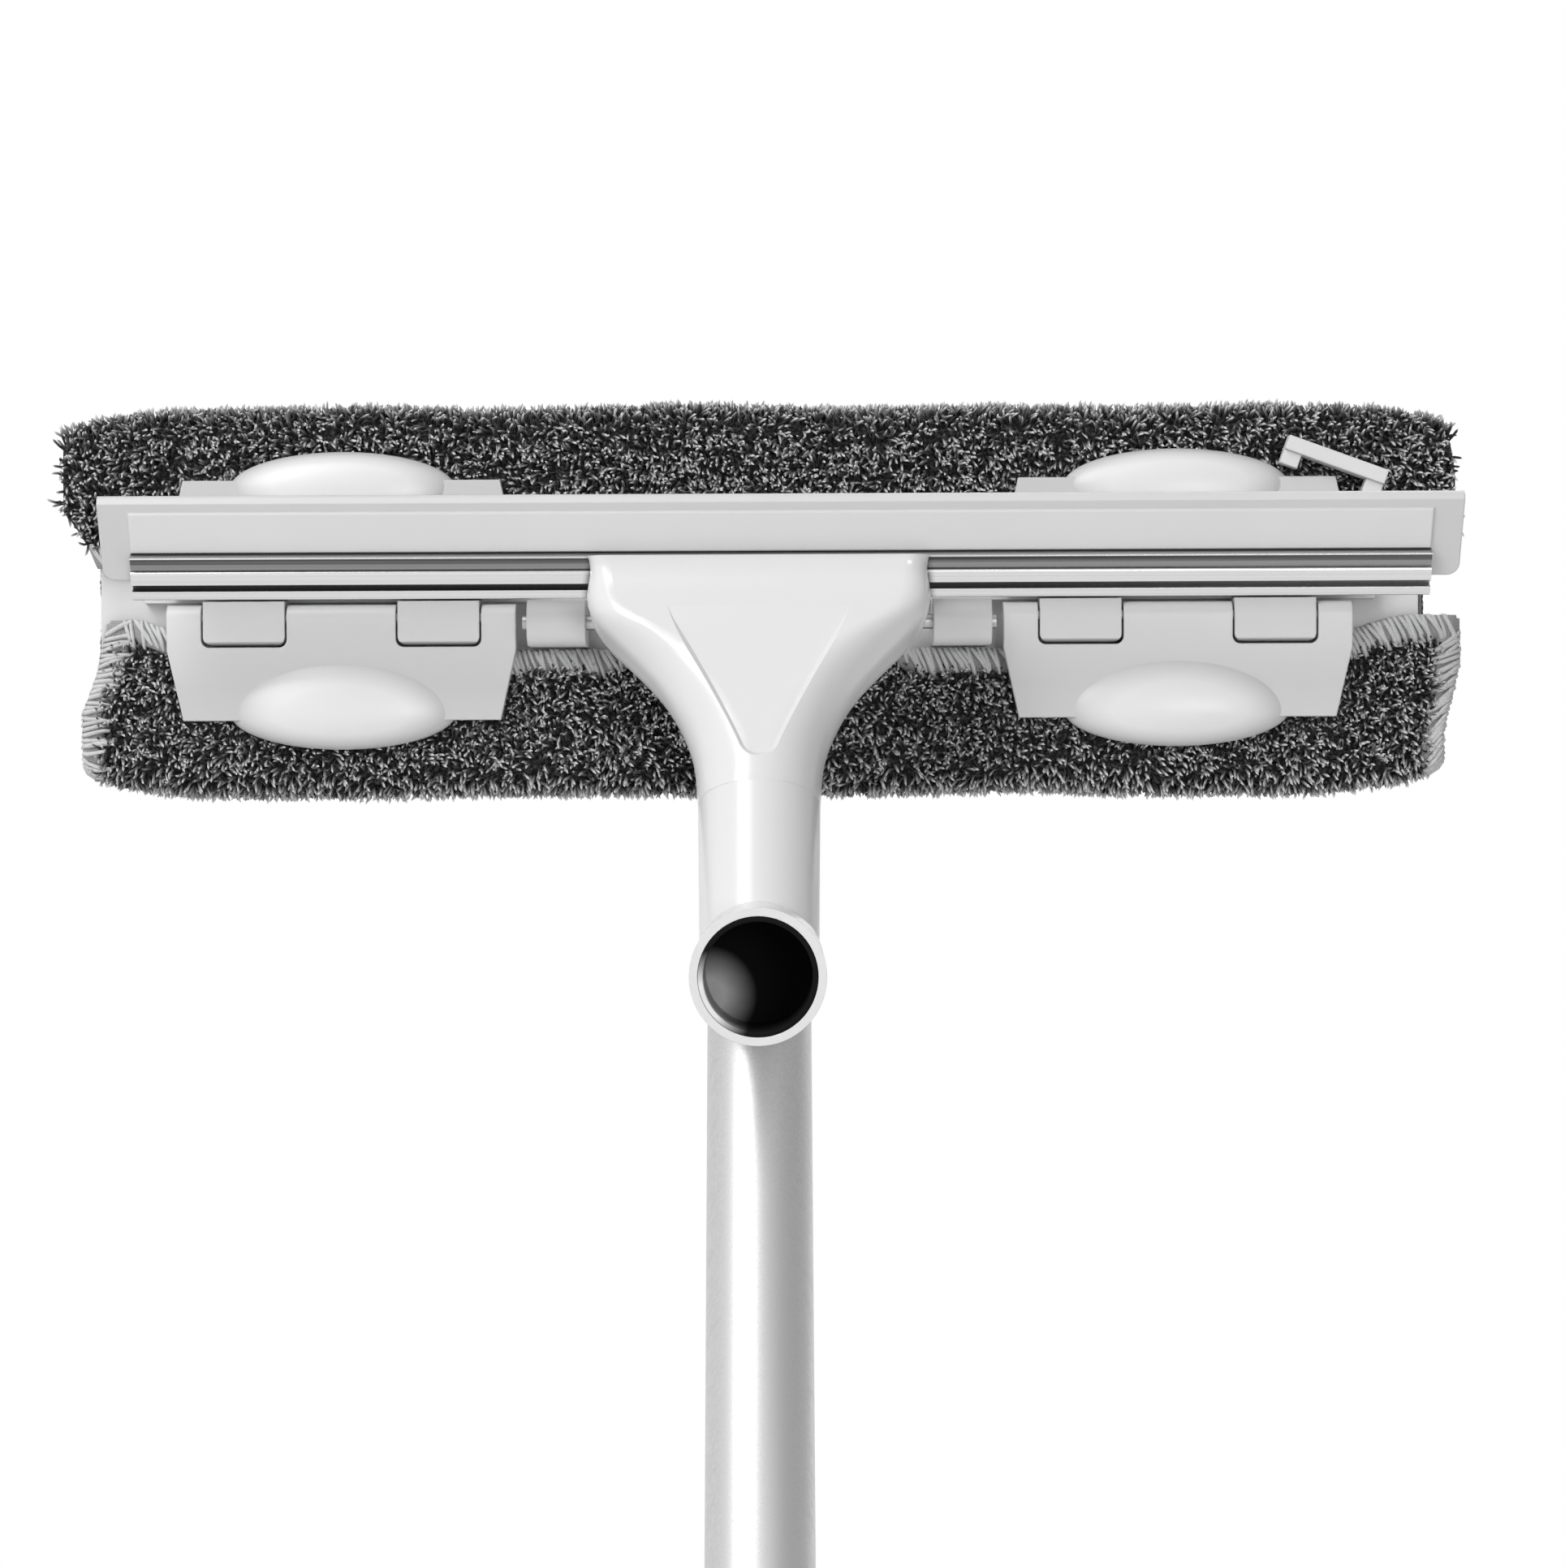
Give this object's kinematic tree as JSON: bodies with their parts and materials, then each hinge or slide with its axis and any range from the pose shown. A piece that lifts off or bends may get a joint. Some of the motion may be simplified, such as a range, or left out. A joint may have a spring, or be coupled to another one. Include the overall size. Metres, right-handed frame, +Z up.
{
  "type": "window scrubber",
  "caption": "Window scrubber with a clipped-on microfibre cloth pad, a squeegee and a tilting head on a telescopic pole with a second pole socket.",
  "frame": {"origin": "middle of the mouth of the empty pole socket that faces the user", "axes": "+X across the head, +Y from the user towards the cloth's face, +Z up along the pad, with the pole leaning 27 degrees towards the user"},
  "size_m": [0.2758, 0.3077, 0.5507],
  "materials": {
    "white_plastic": "glossy moulded white",
    "clip_plastic": "satin moulded pale grey",
    "plate_plastic": "matte moulded pale grey",
    "foam": "closed-cell foam",
    "cloth": "twisted microfibre pile, dark grey",
    "blade_rubber": "smooth pale grey silicone",
    "channel_metal": "bright drawn extrusion",
    "pole_metal": "satin anodised",
    "steel": "plated",
    "dark_plastic": "black moulded",
    "lock_plastic": "satin mid grey",
    "grip_rubber": "soft dark grey foam rubber"
  },
  "bodies": {
    "handle": {"neck_body": "white_plastic", "socket_liner": "dark_plastic", "channel_screws": "steel", "squeegee_channel": "channel_metal", "squeegee_rubber": "blade_rubber", "pole_upper_tube": "pole_metal", "guide_plug": "dark_plastic"},
    "head": {"head_plate": "plate_plastic", "foam_cushion": "foam", "scrub_cloth": "cloth", "corner_tag": "clip_plastic", "clip_pins": "steel", "tilt_axle": "steel"},
    "clip_upper_left": {"clip_upper_left": "clip_plastic"},
    "clip_upper_right": {"clip_upper_right": "clip_plastic"},
    "clip_lower_left": {"clip_lower_left": "clip_plastic"},
    "clip_lower_right": {"clip_lower_right": "clip_plastic"},
    "lower_pole": {"lock_collet": "lock_plastic", "pole_lower_tube": "pole_metal", "grip_sleeve": "grip_rubber", "end_cap": "lock_plastic"},
    "lock_collar": {"lock_collar": "lock_plastic"}
  },
  "joints": [
    {"name": "head_tilt", "type": "hinge", "parent": "handle", "child": "head", "pos_m": [0, 0.09, 0.0654], "axis": [-1, 0, 0], "range_deg": [-8, 35]},
    {"name": "clip_upper_left_open", "type": "hinge", "parent": "head", "child": "clip_upper_left", "pos_m": [-0.08298, 0.096, 0.0737], "axis": [1, 0, 0], "range_deg": [0, 35]},
    {"name": "clip_upper_right_open", "type": "hinge", "parent": "head", "child": "clip_upper_right", "pos_m": [0.08298, 0.096, 0.0737], "axis": [1, 0, 0], "range_deg": [0, 35]},
    {"name": "clip_lower_left_open", "type": "hinge", "parent": "head", "child": "clip_lower_left", "pos_m": [-0.08298, 0.096, 0.0668], "axis": [-1, 0, 0], "range_deg": [0, 50]},
    {"name": "clip_lower_right_open", "type": "hinge", "parent": "head", "child": "clip_lower_right", "pos_m": [0.08298, 0.096, 0.0668], "axis": [-1, 0, 0], "range_deg": [0, 50]},
    {"name": "pole_extend", "type": "slide", "parent": "handle", "child": "lower_pole", "axis": [0, -0.454, -0.891], "range_m": [-0.105, 0.11]},
    {"name": "collar_twist", "type": "hinge", "parent": "lower_pole", "child": "lock_collar", "pos_m": [0, -0.02515, -0.12948], "axis": [0, -0.454, -0.891], "range_deg": [0, 120]}
  ]
}
